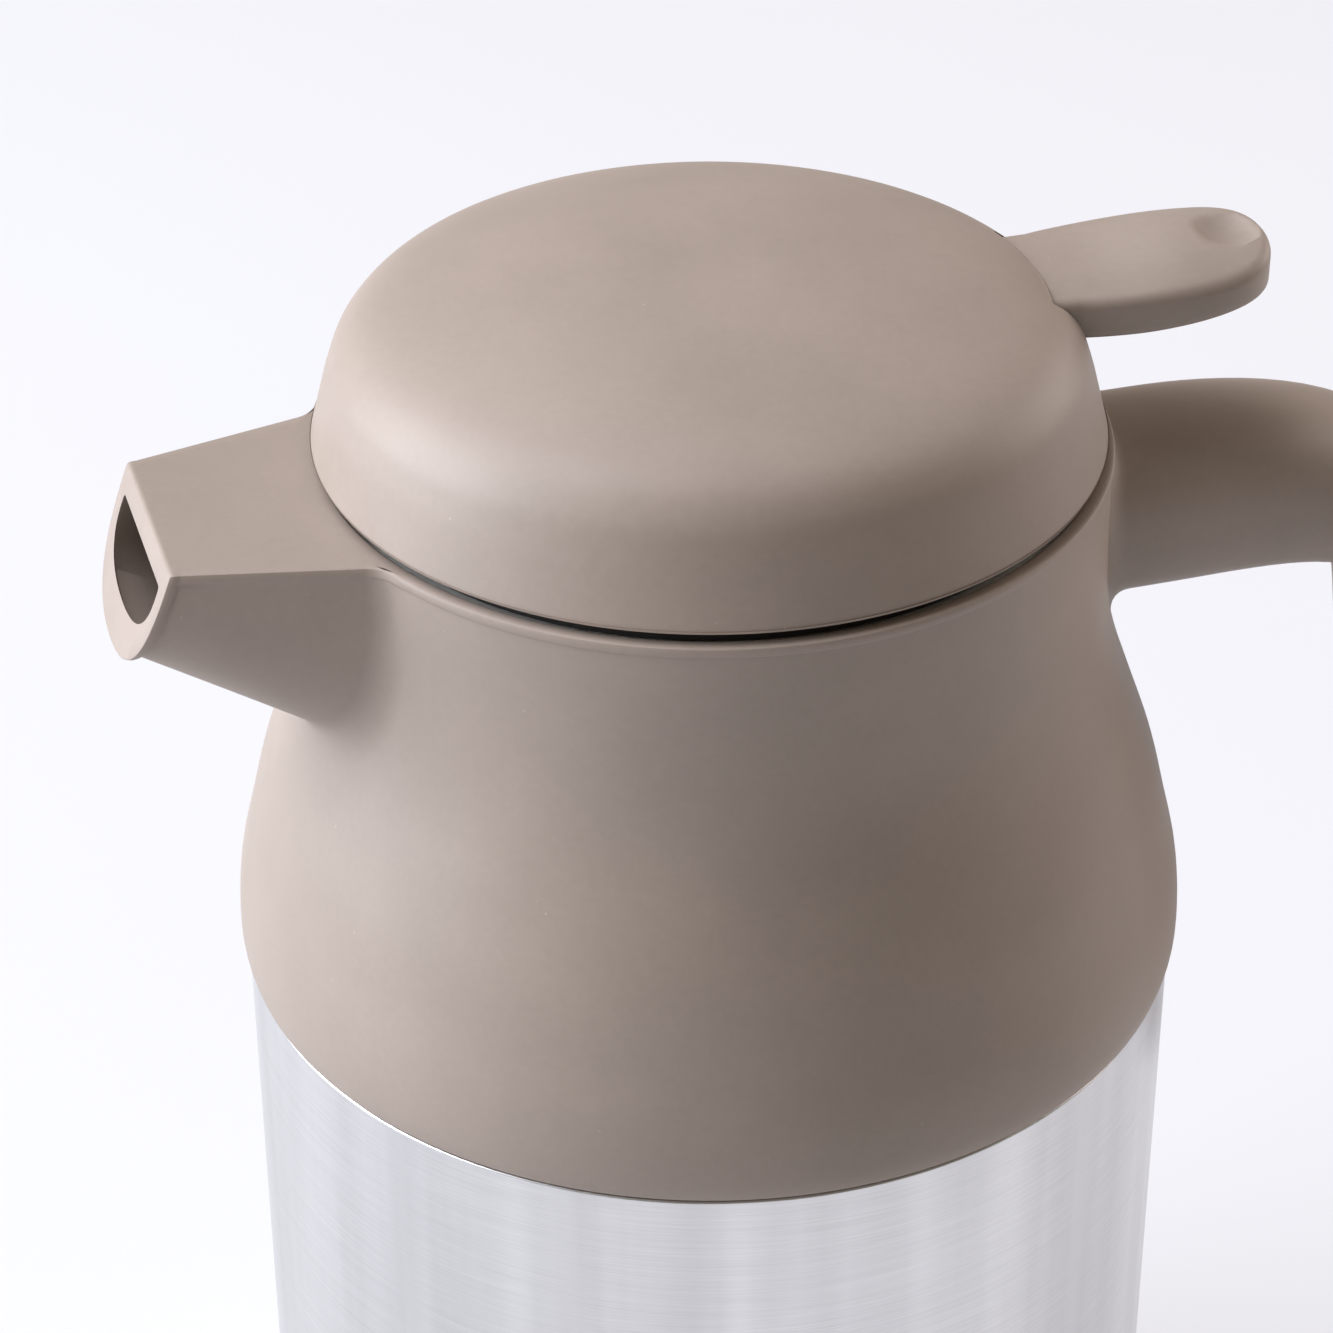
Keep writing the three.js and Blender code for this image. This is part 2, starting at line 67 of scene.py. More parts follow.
# Table top and light
# The jug stands on a plain white table in a bright room. A very large soft lamp on the left lights it,
# a second hangs above it, and a small warm one on the right keeps its shaded side open.
class Shade:
    """One output socket of a material. Arithmetic on it adds Math nodes to the material."""

    def __init__(self, tree, socket=None):
        self.tree = tree
        self.socket = socket

    def node(self, kind, settings=None, inputs=None, output=0):
        """Adds a node: its settings first, then a value or a link for each socket."""
        made = self.tree.nodes.new("ShaderNode" + kind)
        for name, value in (settings or {}).items():
            if name == "stops":
                ramp = made.color_ramp.elements
                while len(ramp) < len(value):
                    ramp.new(0.5)
                for stop, (place, colour) in zip(ramp, value):
                    stop.position = place
                    stop.color = (*colour, 1)
            else:
                setattr(made, name, value)
        for name, value in (inputs or {}).items():
            if isinstance(value, Shade):
                self.tree.links.new(value.socket, made.inputs[name])
            else:
                made.inputs[name].default_value = value
        return Shade(self.tree, made.outputs[output] if made.outputs else None)

    def math(self, operation, a, b):
        return self.node("Math", {"operation": operation}, {0: a, 1: b})

    def mix(self, a, b):
        """Colour a where this value is 0 and colour b where it is 1."""
        inputs = {0: self, 6: a, 7: b}
        return self.node("Mix", {"data_type": "RGBA"}, inputs, output=2)

    def clipped(self, low, high):
        """0 below low, 1 above high, and even between them."""
        return self.node("MapRange", {}, {0: self, 1: low, 2: high, 3: 0.0, 4: 1.0})

    def __add__(self, other):
        return self.math("ADD", self, other)

    def __radd__(self, other):
        return self.math("ADD", other, self)

    def __sub__(self, other):
        return self.math("SUBTRACT", self, other)

    def __rsub__(self, other):
        return self.math("SUBTRACT", other, self)

    def __mul__(self, other):
        return self.math("MULTIPLY", self, other)

    def __rmul__(self, other):
        return self.math("MULTIPLY", other, self)


def new_material(name):
    """An empty material, with a Shade to build its nodes from."""
    material = bpy.data.materials.new(name)
    material.use_nodes = True
    material.node_tree.nodes.clear()
    return material, Shade(material.node_tree)


def finish_material(start, shader):
    start.node("OutputMaterial", {}, {"Surface": shader})


def noise(start, scale, detail=2.0, roughness=0.5, stretch=(1, 1, 1)):
    """Noise in the object's own metres, with scale in cells per metre."""
    place = start.node("TexCoord", output=3)
    cells = tuple(scale * s for s in stretch)
    placed = start.node("Mapping", {}, {"Vector": place, "Scale": cells})
    inputs = {"Vector": placed, "Scale": 1.0, "Detail": detail, "Roughness": roughness}
    return start.node("TexNoise", {}, inputs)


def paint_table():
    material, start = new_material("white_table")
    cloud = noise(start, 6, detail=3)
    colour = cloud.mix((0.84, 0.86, 0.9, 1), (0.88, 0.89, 0.92, 1))
    surface = start.node(
        "BsdfPrincipled", {}, {"Base Color": colour, "Roughness": 0.6, "Specular IOR Level": 0.2}
    )
    glow = start.node("Emission", {}, {"Color": (0.96, 0.95, 1, 1), "Strength": 0.84})
    finish_material(start, start.node("MixShader", {}, {0: 0.75, 1: surface, 2: glow}))
    return material


bpy.ops.mesh.primitive_plane_add(size=8)
table = bpy.context.object
table.name = table.data.name = "table_top"
table.data.materials.append(paint_table())

room = bpy.data.worlds.new("bright_room")
bpy.context.scene.world = room
room.use_nodes = True
room.node_tree.nodes["Background"].inputs["Color"].default_value = (1, 0.88, 0.68, 1)
room.node_tree.nodes["Background"].inputs["Strength"].default_value = 0.2
bpy.context.scene.view_settings.view_transform = "Standard"


def soft_lamp(name, place, aim, size, power, colour):
    """A square area lamp that faces a point."""
    facing = (Vector(aim) - Vector(place)).to_track_quat("-Z", "Y")
    bpy.ops.object.light_add(type="AREA", location=place, rotation=facing.to_euler())
    lamp = bpy.context.object
    lamp.name = name
    lamp.data.size = size
    lamp.data.energy = power
    lamp.data.color = colour


soft_lamp("window_lamp", (-1.15, 0.32, 0.62), (0, 0, 0.13), 1.1, 35, (0.85, 0.91, 1))
soft_lamp("ceiling_lamp", (-0.5, 0.35, 1.3), (0, 0, 0.15), 1.0, 15.5, (0.93, 0.93, 1))
soft_lamp("right_lamp", (1.1, 0.25, 0.5), (0, 0, 0.13), 0.7, 7.5, (1, 0.88, 0.84))


# Steel body, outer wall
# Drawn stainless steel, necked in at the top where the shoulder slides over it. It is polished on
# a lathe with a fine belt, so its hairlines run round it and smear what it reflects up and down.
def deselect():
    bpy.ops.object.select_all(action="DESELECT")


def rounded(outline, steps=4):
    """Swaps each corner that has a third number, its reach, for a short curve."""
    points = []
    for i, corner in enumerate(outline):
        here = Vector(corner[:2])
        if len(corner) == 2:
            points.append(here)
            continue
        before = Vector(outline[i - 1][:2]) - here
        after = Vector(outline[(i + 1) % len(outline)][:2]) - here
        start = here + before.normalized() * min(corner[2], before.length * 0.49)
        end = here + after.normalized() * min(corner[2], after.length * 0.49)
        points += interpolate_bezier(start, start.lerp(here, 0.6), end.lerp(here, 0.6), end, steps)
    return points


def flowing(points, steps=4):
    """A smooth curve through all the points, with that many steps between two of them."""
    points = [Vector(p) for p in points]
    curve = []
    for i in range(len(points) - 1):
        a = points[max(i - 1, 0)]
        b = points[i]
        c = points[i + 1]
        d = points[min(i + 2, len(points) - 1)]
        curve += interpolate_bezier(b, b + (c - a) / 6, c - (d - b) / 6, c, steps + 1)[:-1]
    return [tuple(p) for p in curve + [points[-1]]]


def smooth(piece, angle=32):
    deselect()
    piece.select_set(True)
    bpy.context.view_layer.objects.active = piece
    bpy.ops.object.shade_smooth_by_angle(angle=radians(angle))


def turned(name, outline, sides=144, steps=4):
    """A shape turned about Z from a closed outline of (radius, height[, reach of the corner])."""
    outline = rounded(outline, steps)
    deselect()
    bpy.ops.mesh.primitive_circle_add(vertices=len(outline), radius=0.01, fill_type="NOTHING")
    piece = bpy.context.object
    piece.name = piece.data.name = name
    for vertex, (r, z) in zip(piece.data.vertices, outline):
        vertex.co = (r, 0, z)
    bpy.ops.object.mode_set(mode="EDIT")
    bpy.ops.mesh.select_mode(type="VERT")
    bpy.ops.mesh.select_all(action="SELECT")
    bpy.ops.mesh.spin(steps=sides, angle=2 * pi, center=(0, 0, 0), axis=(0, 0, 1))
    bpy.ops.mesh.select_all(action="SELECT")
    bpy.ops.mesh.remove_doubles(threshold=1e-6)
    bpy.ops.mesh.delete_loose()
    bpy.ops.mesh.select_all(action="SELECT")
    bpy.ops.mesh.normals_make_consistent(inside=False)
    bpy.ops.object.mode_set(mode="OBJECT")
    smooth(piece)
    return piece


def dress(piece, material, body, slot, *nodes):
    """Gives a piece its finish, its body and the CAD nodes that it stands for."""
    piece.data.materials.clear()
    piece.data.materials.append(material)
    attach(piece, body)
    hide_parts(*nodes)


def belted_steel(name, roughness, anisotropy):
    """Stainless steel with hairlines round Z, and soft upright streaks that vary its roughness and are
    also painted into its colour as painted reflections, lighter and darker up its height.
    """
    material, start = new_material(name)
    hairline = noise(start, 60, detail=4, roughness=0.7, stretch=(1, 1, 90))
    fine = noise(start, 160, detail=3, roughness=0.6, stretch=(1, 1, 60))
    cloud = noise(start, 90, detail=3, stretch=(1, 1, 0.06))
    # Painted reflection: the long upright streaks make the colour lighter and darker up the wall; the
    # hairlines add the steel's own fine tone.
    colour = (0.6 * cloud + 0.4 * hairline).clipped(0.35, 0.65).mix(
        (0.61, 0.605, 0.61, 1), (0.8, 0.795, 0.8, 1)
    )
    gloss = roughness - 0.07 + 0.1 * cloud + 0.06 * fine
    bump = start.node(
        "Bump", {}, {"Strength": 0.25, "Distance": 0.00004, "Height": hairline + fine}
    )
    shader = start.node(
        "BsdfPrincipled",
        {},
        {
            "Base Color": colour,
            "Metallic": 1.0,
            "Roughness": gloss,
            "Anisotropic": anisotropy,
            "Normal": bump,
        },
    )
    finish_material(start, shader)
    return material


steel = belted_steel("belted_steel", 0.3, 0.7)
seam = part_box("shoulder_housing")[0].z
body_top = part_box("outer_body_shell")[1].z
body_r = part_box("outer_body_shell")[1].x
body_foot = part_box("outer_body_shell")[0].z

outside = [
    (body_r - 0.0018, body_foot, 0.0003), (body_r - 0.0007, body_foot, 0.0003),
    (body_r, body_foot + 0.0019, 0.001), (body_r, seam - 0.0004, 0.0003),
    (body_r - 0.0015, seam - 0.0003, 0.0004), (body_r - 0.0019, seam + 0.0028),
]
outside += flowing(
    [
        (0.0567, 0.133), (0.0542, 0.142), (0.0495, 0.151), (0.043, 0.1574),
        (0.0376, 0.1604), (0.0362, 0.163),
    ]
)
inside = [(0.0362, body_top, 0.0004), (0.0352, body_top, 0.0004)]
inside += flowing(
    [
        (0.0352, 0.1628), (0.0368, 0.1596), (0.0423, 0.1566), (0.0486, 0.1504),
        (0.0532, 0.1417), (0.0557, 0.1328),
    ]
)
inside += [
    (body_r - 0.0029, seam + 0.0026), (body_r - 0.0025, seam - 0.0006),
    (body_r - 0.001, seam - 0.0018), (body_r - 0.001, body_foot + 0.0021),
]
outer_wall = turned("body_outer_wall", outside + inside, sides=192)
dress(outer_wall, steel, "jug", "body_steel", "outer_body_shell")


# Steel vessel, inner wall
# A second drawn shell hangs in the first by its neck, and the air between them is pumped out.
# Its inside is left electropolished, brighter than the outside.
vessel_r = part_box("inner_vessel")[1].x
vessel_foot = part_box("inner_vessel")[0].z
vessel_outside = [
    (0, vessel_foot), (0.03, vessel_foot), (0.045, vessel_foot, 0.002),
    (0.0515, vessel_foot + 0.0022, 0.003), (vessel_r, vessel_foot + 0.007, 0.003), (vessel_r, 0.12),
]
vessel_outside += flowing(
    [
        (0.0538, 0.129), (0.0512, 0.1385), (0.0466, 0.1472), (0.0404, 0.1534),
        (0.0356, 0.157), (0.034, 0.1605),
    ]
)
vessel_outside += [(0.034, 0.1726), (0.0349, 0.1734), (0.0349, body_top, 0.0003)]
vessel_inside = [(0.033, body_top, 0.0006)]
vessel_inside += flowing(
    [
        (0.033, 0.1602), (0.0349, 0.1561), (0.0397, 0.1525), (0.0458, 0.1466),
        (0.0503, 0.1381), (0.0528, 0.1288),
    ]
)
vessel_inside += [
    (vessel_r - 0.001, 0.12), (vessel_r - 0.001, vessel_foot + 0.0076, 0.003),
    (0.0509, vessel_foot + 0.0031, 0.003), (0.0448, vessel_foot + 0.001, 0.002),
    (0, vessel_foot + 0.001),
]
bright_steel = belted_steel("electropolished_steel", 0.2, 0.3)
vessel = turned("inner_vessel_wall", vessel_outside + vessel_inside)
dress(vessel, bright_steel, "jug", "body_steel", "inner_vessel")
for hidden in ("body_bottom_plate", "getter_pellet"):
    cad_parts[hidden].data.materials.clear()
    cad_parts[hidden].data.materials.append(bright_steel)


# Base cover and pad
# A moulded dish snaps into the foot of the steel body, and a ribbed rubber disc is glued under it
# so that the jug doesn't slide on a table.
def moulded_plastic(name, dark, light, roughness, grain=0.5):
    """Plastic from a spark-eroded mould: matt grain, cloudy tint, edges painted lighter and warmer as
    rubbed wear and as a painted highlight, a few pale specks.
    """
    material, start = new_material(name)
    cloud = noise(start, 55, detail=3)
    dust = noise(start, 900, detail=2, roughness=0.6)
    pits = noise(start, 2600, detail=2, roughness=0.7)
    colour = (0.65 * cloud + 0.35 * dust).clipped(0.33, 0.67).mix((*dark, 1), (*light, 1))
    place = start.node("TexCoord", output=3)
    spread = start.node("TexVoronoi", {"feature": "F1"}, {"Vector": place, "Scale": 170.0})
    speck = 1 - spread.clipped(0.012, 0.035)
    pale = tuple(min(1, c * 1.5 + 0.04) for c in light)
    colour = (0.4 * speck).mix(colour, (*pale, 1))
    # Pointed edges are painted lighter and warmer: partly rubbed wear, partly a painted highlight where
    # light catches thin edges and shines through them.
    edge = start.node("NewGeometry", output=7).clipped(0.56, 0.68)
    wear_and_edge_highlight = tuple(min(1, c * w) for c, w in zip(light, (1.35, 1.27, 1.22)))
    colour = (0.5 * edge).mix(colour, (*wear_and_edge_highlight, 1))
    bump = start.node(
        "Bump", {}, {"Strength": grain, "Distance": 0.00003, "Height": 0.6 * pits + 0.4 * dust}
    )
    shader = start.node(
        "BsdfPrincipled",
        {},
        {
            "Base Color": colour,
            "Roughness": roughness - 0.05 + 0.1 * dust,
            "Specular IOR Level": 0.42,
            "Normal": bump,
        },
    )
    finish_material(start, shader)
    return material


taupe = moulded_plastic("taupe_plastic", (0.275, 0.222, 0.187), (0.31, 0.25, 0.211), 0.5)
base_low, base_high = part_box("base_cover")
base_outline = [
    (0, base_low.z), (0.03, base_low.z, 0.0003), (0.0302, base_low.z + 0.0002),
    (0.0518, base_low.z + 0.0002), (0.052, base_low.z, 0.0002), (0.0564, base_low.z, 0.001),
    (base_high.x, base_low.z + 0.0015, 0.0005),
    (base_high.x, base_low.z + 0.0035, 0.0004), (base_high.x - 0.0012, base_low.z + 0.0035),
    (base_high.x - 0.0012, base_high.z, 0.0005), (base_high.x - 0.0036, base_high.z, 0.0005),
    (base_high.x - 0.0036, base_low.z + 0.0025), (0, base_low.z + 0.0025),
]
base_cover = turned("base_cover_dish", base_outline)
dress(base_cover, taupe, "jug", "taupe_plastic", "base_cover")


def soft_rubber(name, dark, light, roughness):
    """Silicone or rubber: a waxy surface with fine dust in it."""
    material, start = new_material(name)
    cloud = noise(start, 90, detail=3)
    dust = noise(start, 1500, detail=2)
    colour = (0.7 * cloud + 0.3 * dust).clipped(0.3, 0.7).mix((*dark, 1), (*light, 1))
    bump = start.node("Bump", {}, {"Strength": 0.35, "Distance": 0.00004, "Height": dust})
    shader = start.node(
        "BsdfPrincipled",
        {},
        {"Base Color": colour, "Roughness": roughness + 0.12 * dust, "Normal": bump},
    )
    finish_material(start, shader)
    return material


pad_low, pad_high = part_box("base_pad")
pad_outline = [(0, pad_low.z + 0.0004), (0.006, pad_low.z + 0.0004, 0.0003)]
for rib in range(9):
    r = 0.0075 + rib * 0.0046
    pad_outline += [
        (r, pad_low.z, 0.0004), (r + 0.0026, pad_low.z, 0.0004),
        (r + 0.003, pad_low.z + 0.0008, 0.0003), (r + 0.0042, pad_low.z + 0.0008, 0.0003),
    ]
pad_outline += [
    (pad_high.x - 0.0004, pad_low.z, 0.0006), (pad_high.x, pad_low.z + 0.0008, 0.0004),
    (pad_high.x, pad_high.z, 0.0003), (0, pad_high.z),
]
pad = turned("base_pad_disc", pad_outline, sides=96, steps=3)
dark_rubber = soft_rubber("dark_rubber", (0.03, 0.03, 0.03), (0.05, 0.05, 0.05), 0.6)
dress(pad, dark_rubber, "jug", "pad_rubber", "base_pad")


# Shoulder with its spout
# One moulding in taupe plastic: a bell that covers the necked steel, a collar for the lid's seal,
# an inner floor that the neck nut pulls down, and a beak spout with an open channel.
spout_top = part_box("shoulder_housing")[1].z
spout_tip = 0.0679
rake = 0.37  # how far the lower lip stands out for each metre of depth
collar_r = 0.0484
bore_r = 0.0466
floor_top = 0.17
neck_hole = 0.0366
parting = 0.1933

neck = flowing(
    [
        (0.0594, seam), (0.0599, 0.1276), (0.0598, 0.132), (0.0592, 0.1366), (0.0579, 0.142),
        (0.0559, 0.15), (0.0531, 0.158), (0.0505, 0.1655), (0.0489, 0.1725), (0.0483, 0.181),
        (0.0482, 0.19), (0.0482, parting - 0.0001),
    ]
)
neck += [(collar_r - 0.00005, parting), (collar_r, parting + 0.0001), (collar_r, spout_top - 0.0003)]
neck += [(collar_r - 0.0001, spout_top - 0.0001), (collar_r - 0.0003, spout_top)]
neck_rows = [z for r, z in neck if z > 0.1585]
bore_rows = [0.1712 + 0.0228 * i / (len(neck_rows) - 1) for i in range(len(neck_rows))]
rim = rounded([neck[-1], (bore_r, spout_top, 0.0003), (bore_r, bore_rows[-1])])[1:-1]
shoulder_outline = [(0.0582, seam, 0.0002), (0.0593, seam, 0.0003)] + neck[1:] + rim
shoulder_outline += [(bore_r, z) for z in reversed(bore_rows)]
shoulder_outline += [
    (bore_r, floor_top, 0.0006), (neck_hole, floor_top, 0.0004), (neck_hole, 0.1676, 0.0004),
    (0.0466, 0.1676), (0.0482, 0.1655), (0.0508, 0.158), (0.0537, 0.15), (0.056, 0.141),
    (0.0572, 0.135), (0.0579, 0.13),
]
turn_sides = 144
shoulder = turned("shoulder_moulding", shoulder_outline, sides=turn_sides)
window_cells = 22
window_half = window_cells // 2


def neck_radius(z):
    """Radius of the shoulder's outside at height z."""
    for (r0, z0), (r1, z1) in zip(neck, neck[1:]):
        if z0 <= z <= z1:
            return r0 + (r1 - r0) * (z - z0) / (z1 - z0)
    return collar_r


def bore_radius(z):
    """Radius of the collar's bore, the same at every height."""
    return bore_r


def on_wall(angle, z, radius, side=-1):
    """Point on a turned wall; the angle is from the spout for side -1, from the handle for 1."""
    r = radius(z)
    return Vector((side * r * cos(angle), r * sin(angle), z))


def edit_faces(piece, chosen):
    """Opens a piece in edit mode with only the faces selected that pass a test."""
    deselect()
    piece.select_set(True)
    bpy.context.view_layer.objects.active = piece
    bpy.ops.object.mode_set(mode="EDIT")
    bpy.ops.mesh.select_mode(type="FACE")
    bpy.ops.mesh.select_all(action="DESELECT")
    bpy.ops.object.mode_set(mode="OBJECT")
    for face in piece.data.polygons:
        face.select = chosen(face)
    bpy.ops.object.mode_set(mode="EDIT")


def cut_window(piece, rows, radius):
    """Opens one wall of the shoulder in front of the spout, between its first and last row."""
    widest = 2 * pi * window_half / turn_sides

    def in_window(face):
        x, y, z = face.center
        near = abs(hypot(x, y) - radius(z)) < 0.0006
        return near and abs(atan2(y, -x)) < widest and rows[0] < z < rows[-1]

    edit_faces(piece, in_window)
    bpy.ops.mesh.delete(type="FACE")
    bpy.ops.object.mode_set(mode="OBJECT")


def window_edge(rows):
    """(angle, height) of the window's corners: its top, one side, its foot, the other side."""
    step = 2 * pi / turn_sides
    top = [(i * step, rows[-1]) for i in range(-window_half, window_half)]
    down = [(window_half * step, z) for z in rows[:0:-1]]
    foot = [(i * step, rows[0]) for i in range(window_half, -window_half, -1)]
    up = [(-window_half * step, z) for z in rows[:-1]]
    return top + down + foot + up


def spout_section(x, half_width, depth, top=0.0, step=0.0, corner=0.0005):
    """Points round the spout: its flat top, then a U that steps in a little at the parting line."""
    flat = [((half_width - corner) * i / window_half, 0) for i in range(-window_half, window_half + 1)]
    under = spout_top - parting
    u = interpolate_bezier(
        Vector((half_width - step, under + 0.0001)), Vector((half_width - step, 0.57 * depth)),
        Vector((0.83 * half_width, depth)), Vector((0, depth)), window_half + len(neck_rows) - 4,
    )
    side = [(half_width - 0.3 * corner, 0.3 * corner), (half_width, corner), (half_width, under - 0.0001)]
    side += [tuple(p) for p in u[:-1]]
    loop = flat + side + [(0, depth)] + [(-n, y) for n, y in reversed(side)]
    return [Vector((-(x + rake * (top + y)), n, spout_top - top - y)) for n, y in loop]


def beak(x):
    """The spout's outside narrows evenly from the shoulder to its lip."""
    return spout_section(x, 0.0139 + 0.227 * (0.0667 - x), 0.0149 + 0.517 * (0.0667 - x), step=0.00012)


def channel(x):
    """The channel inside it, which narrows the same way."""
    return spout_section(x, 0.0108 + 0.192 * (0.0689 - x), 0.0074 + 0.527 * (0.0689 - x), 0.0029)


def reach_wall(section, radius, column, low=0.02, high=0.066):
    """Where one line along the spout, or along its channel, meets a turned wall."""
    for _ in range(22):
        x = (low + high) / 2
        point = section(x)[column]
        if hypot(point.x, point.y) > radius(point.z):
            high = x
        else:
            low = x
    return high


def wall_to_spout(column, edge, section, radius, fillet):
    """Points from the window's edge along the wall and round the fillet onto the spout."""
    x = reach_wall(section, radius, column)
    corner = section(x)[column]
    end = section(x + fillet)[column]
    start = on_wall(*edge, radius)
    if 0 < column < window_cells:
        return x + fillet, [start] * 4 + [start.lerp(end, i / 6) for i in range(1, 7)]
    angle, z = atan2(corner.y, -corner.x), corner.z
    span = hypot(radius(z) * (edge[0] - angle), edge[1] - z)
    share = min(1, fillet / span)
    points = []
    for i in range(4):
        t = 1 - (1 - share) * i / 3
        points.append(on_wall(angle + (edge[0] - angle) * t, z + (edge[1] - z) * t, radius))
    handles = points[-1].lerp(corner, 0.6), end.lerp(corner, 0.6)
    points += interpolate_bezier(points[-1], *handles, end, 7)[1:]
    return x + fillet, points


def skin(name, rings, closed=True):
    """A sheet over rings of points that all have the same count; closed joins their two ends."""
    deselect()
    count = len(rings[0]) + (1 if closed else 0)
    bpy.ops.mesh.primitive_grid_add(x_subdivisions=count - 1, y_subdivisions=len(rings) - 1, size=0.1)
    piece = bpy.context.object
    piece.name = piece.data.name = name
    places = [ring[i % len(ring)] for ring in rings for i in range(count)]
    for vertex, place in zip(piece.data.vertices, places):
        vertex.co = place
    return piece


def merge(piece, *others, reach=1.5e-6):
    """Joins pieces into the first one and closes the seams where their points meet."""
    deselect()
    for part in (piece, *others):
        part.select_set(True)
    bpy.context.view_layer.objects.active = piece
    if others:
        bpy.ops.object.join()
    bpy.ops.object.mode_set(mode="EDIT")
    bpy.ops.mesh.select_mode(type="VERT")
    bpy.ops.mesh.select_all(action="SELECT")
    bpy.ops.mesh.remove_doubles(threshold=reach)
    bpy.ops.mesh.delete_loose()
    bpy.ops.mesh.select_all(action="SELECT")
    bpy.ops.mesh.normals_make_consistent(inside=False)
    bpy.ops.object.mode_set(mode="OBJECT")
    smooth(piece)


cut_window(shoulder, neck_rows, neck_radius)
cut_window(shoulder, bore_rows, bore_radius)
lip_rings = [  # along the spout, half width, depth, how far its top lies below the rim
    (0.0667, 0.0139, 0.0151, 0.0), (0.0669, 0.01389, 0.0154, 0.0), (0.0673, 0.01386, 0.0155, 0.0),
    (0.0676, 0.0138, 0.01545, 0.0), (0.06782, 0.0137, 0.0153, 0.0001),
    (spout_tip, 0.01345, 0.015, 0.0003), (spout_tip, 0.0115, 0.0082, 0.0025),
    (0.06782, 0.0111, 0.0078, 0.0028),
]
columns = []
for column, (outer_edge, inner_edge) in enumerate(zip(window_edge(neck_rows), window_edge(bore_rows))):
    under_share = max(0, (column - window_cells) / (2 * (window_half + len(neck_rows) - 1)))
    root_fillet = 0.0018 + 0.0024 * sin(pi * under_share)
    root, line = wall_to_spout(column, outer_edge, beak, neck_radius, root_fillet)
    inner_root, inner_line = wall_to_spout(column, inner_edge, channel, bore_radius, 0.001)
    line += [beak(root + (0.0665 - root) * i / 5)[column] for i in range(1, 6)]
    line += [spout_section(*lip_ring)[column] for lip_ring in lip_rings]
    line += [channel(0.0675 + (inner_root - 0.0675) * i / 6)[column] for i in range(7)]
    columns.append(line[:-1] + list(reversed(inner_line)))
spout = skin("spout_sheet", [list(ring) for ring in zip(*columns)])
merge(shoulder, spout)
dress(shoulder, taupe, "jug", "taupe_plastic", "shoulder_housing")


# Neck gasket and nut
# A silicone ring seals the steel neck against the shoulder's floor, and a dark plastic ring nut
# with six spanner notches screws onto the neck and pulls the floor down.
def cut_with(piece, cutter, operation="DIFFERENCE"):
    """Cuts, joins or keeps what two closed pieces share, and removes the second one."""
    deselect()
    piece.select_set(True)
    bpy.context.view_layer.objects.active = piece
    modifier = piece.modifiers.new("cut", "BOOLEAN")
    modifier.operation = operation
    modifier.solver = "EXACT"
    modifier.object = cutter
    bpy.ops.object.modifier_apply(modifier=modifier.name)
    bpy.data.objects.remove(cutter)
    smooth(piece)


def block(low, high, bevel=0.0, segments=3):
    """A box between two corners, with its edges rounded; used to cut and to join."""
    deselect()
    low, high = Vector(low), Vector(high)
    bpy.ops.mesh.primitive_cube_add(size=1, location=(low + high) / 2, scale=high - low)
    made = bpy.context.object
    bpy.ops.object.transform_apply()
    if bevel:
        soften(made, bevel, segments)
    return made


def soften(piece, width, segments=2, angle=40):
    """Rounds the edges of a piece that are sharper than the angle."""
    deselect()
    piece.select_set(True)
    bpy.context.view_layer.objects.active = piece
    modifier = piece.modifiers.new("round", "BEVEL")
    modifier.width = width
    modifier.segments = segments
    modifier.limit_method = "ANGLE"
    modifier.angle_limit = radians(angle)
    bpy.ops.object.modifier_apply(modifier=modifier.name)
    smooth(piece)


silicone = soft_rubber("silicone", (0.66, 0.64, 0.6), (0.74, 0.72, 0.68), 0.42)
gasket_low, gasket_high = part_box("neck_gasket")
gasket_r = gasket_high.x
gasket_outline = [
    (neck_hole, gasket_low.z, 0.0004), (gasket_r, gasket_low.z, 0.0006),
    (gasket_r - 0.0003, gasket_low.z + 0.0018, 0.0003), (gasket_r, gasket_high.z, 0.0006),
    (neck_hole, gasket_high.z, 0.0004),
]
gasket = turned("neck_gasket_ring", gasket_outline, sides=96)
dress(gasket, silicone, "jug", "silicone", "neck_gasket")

dark_plastic = moulded_plastic("dark_plastic", (0.055, 0.052, 0.05), (0.075, 0.071, 0.068), 0.5)
nut_low, nut_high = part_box("neck_nut")
nut_outline = [
    (neck_hole, nut_low.z, 0.0003), (nut_high.x, nut_low.z, 0.0004),
    (nut_high.x, nut_high.z, 0.0007), (neck_hole, nut_high.z, 0.0005),
]
nut = turned("neck_ring_nut", nut_outline, sides=96)
for i in range(3):
    notch = block((-0.05, -0.0022, nut_high.z - 0.0016), (0.05, 0.0022, nut_high.z + 0.002), 0.0003)
    notch.rotation_euler.z = radians(60 * i)
    cut_with(nut, notch)
dress(nut, dark_plastic, "jug", "inner_plastic", "neck_nut")


# Handle
# A hollow taupe moulding that slides over a tongue on the back of the neck and is screwed to it
# from below. Its arm flares onto the neck, turns down through a quarter circle and ends free.
arm_z = 0.1776
arm_root = 0.046


def even_path(points, count):
    """Points spread evenly along a chain of points."""
    lengths = [0.0]
    for a, b in zip(points, points[1:]):
        lengths.append(lengths[-1] + (b - a).length)
    spread = []
    i = 0
    for k in range(count + 1):
        target = lengths[-1] * k / count
        while i < len(lengths) - 2 and lengths[i + 1] < target:
            i += 1
        share = (target - lengths[i]) / (lengths[i + 1] - lengths[i])
        spread.append(points[i].lerp(points[i + 1], share))
    return spread


